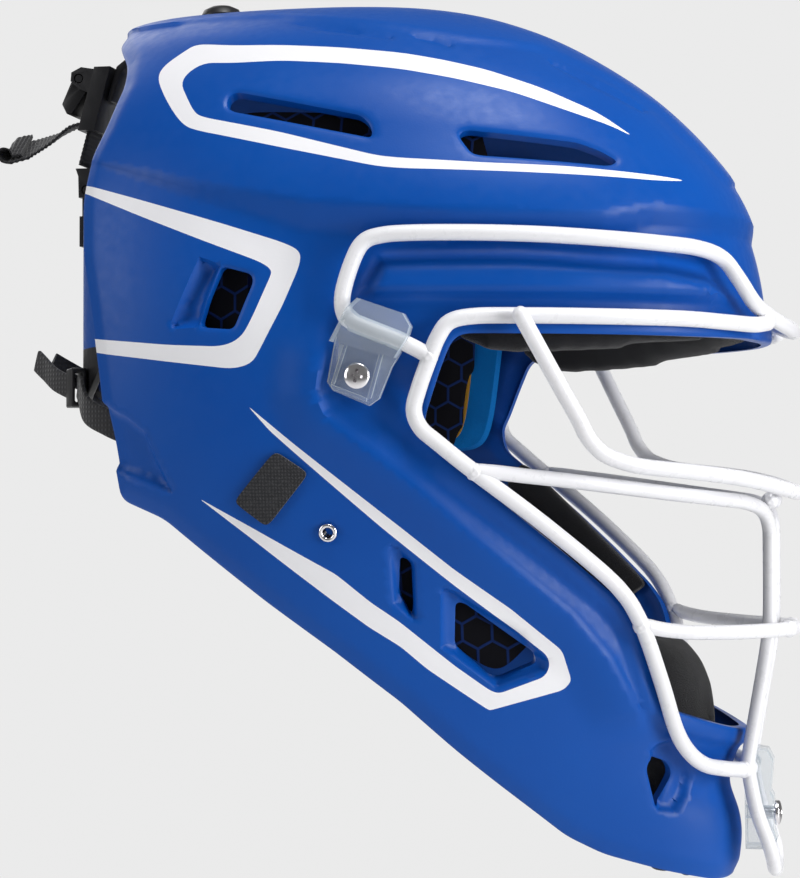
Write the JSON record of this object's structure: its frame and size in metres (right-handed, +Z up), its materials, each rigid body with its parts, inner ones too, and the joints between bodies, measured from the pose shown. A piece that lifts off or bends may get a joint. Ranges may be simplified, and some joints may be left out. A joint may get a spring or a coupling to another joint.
{
  "type": "catcher's helmet",
  "caption": "Hockey-style catcher's helmet: vented moulded shell with a welded wire face cage on clear screwed clips, foam lining, and a strapped, hinged back plate.",
  "frame": {"origin": "centre of the wearer's head inside the helmet, midway between the temples at eye level", "axes": "+X the way the face looks, +Y to the wearer's left, +Z up"},
  "size_m": [0.3171, 0.2192, 0.3384],
  "materials": {
    "shell_blue": "matte royal blue moulded ABS with white painted outlines on the shell",
    "cage_white": "satin white powder coat on steel wire",
    "clip_clear": "clear polycarbonate",
    "steel": "zinc-plated steel",
    "pad_black": "black knit over laminated foam",
    "chin_black": "black loop fabric over foam",
    "trim_black": "black acetal",
    "webbing_black": "black woven webbing and elastic"
  },
  "bodies": {
    "shell": {"helmet_shell": "shell_blue", "cage_brow_wire": "cage_white", "cage_edge_wire_right": "cage_white", "cage_edge_wire_left": "cage_white", "cage_eye_bar": "cage_white", "cage_mouth_bar": "cage_white", "cage_lower_bar": "cage_white", "cage_chin_crossbar": "cage_white", "side_clip_right": "clip_clear", "side_clip_left": "clip_clear", "chin_clip": "clip_clear", "side_clip_screw_right": "steel", "side_clip_screw_left": "steel", "side_clip_nut_right": "steel", "side_clip_nut_left": "steel", "chin_clip_screw": "steel", "chin_clip_nut": "steel", "eyelet_right": "steel", "eyelet_left": "steel", "buckle_pin": "steel", "elastic_rivet_right": "steel", "elastic_rivet_left": "steel", "forehead_pad": "pad_black", "crown_pad_front": "pad_black", "crown_pad_rear": "pad_black", "temple_pad_right": "pad_black", "temple_pad_left": "pad_black", "ear_pad_right": "pad_black", "ear_pad_left": "pad_black", "upper_side_pad_right": "pad_black", "upper_side_pad_left": "pad_black", "jaw_pad_right": "pad_black", "jaw_pad_left": "pad_black", "chin_pad": "chin_black", "crown_anchor_cap": "trim_black", "buckle_bracket": "trim_black", "buckle_frame": "trim_black", "hook_patch_right": "webbing_black", "hook_patch_left": "webbing_black", "lower_elastic_right": "webbing_black", "lower_elastic_left": "webbing_black"},
    "back_plate": {"back_plate": "shell_blue", "back_plate_pad": "pad_black", "plate_keeper": "trim_black", "strap_slider_right": "trim_black", "strap_slider_left": "trim_black", "elastic_tail_right": "webbing_black", "elastic_tail_left": "webbing_black"},
    "buckle_lever": {"buckle_lever": "trim_black"},
    "drop_strap": {"drop_strap": "webbing_black", "strap_end_fork": "trim_black", "plate_hinge_pin": "steel"},
    "strap_tail": {"strap_tail": "webbing_black"}
  },
  "joints": [
    {"name": "plate_lift", "type": "slide", "parent": "shell", "child": "drop_strap", "axis": [0.2601, 0, 0.9656], "range_m": [0, 0.012]},
    {"name": "tail_pull", "type": "slide", "parent": "shell", "child": "strap_tail", "axis": [-1, 0, 0], "range_m": [0, 0.012]},
    {"name": "plate_swing", "type": "hinge", "parent": "drop_strap", "child": "back_plate", "pos_m": [-0.1245, 0, 0.0605], "axis": [0, 1, 0], "range_deg": [-6, 30], "stiffness_Nm_per_rad": 0.9, "deforming": ["lower_elastic_right", "lower_elastic_left"]},
    {"name": "lever_open", "type": "hinge", "parent": "shell", "child": "buckle_lever", "pos_m": [-0.127, 0, 0.1045], "axis": [0, 1, 0], "range_deg": [0, 70]}
  ],
  "couplings": [
    {"joint": "tail_pull", "follows": "plate_lift", "ratio": 1}
  ]
}
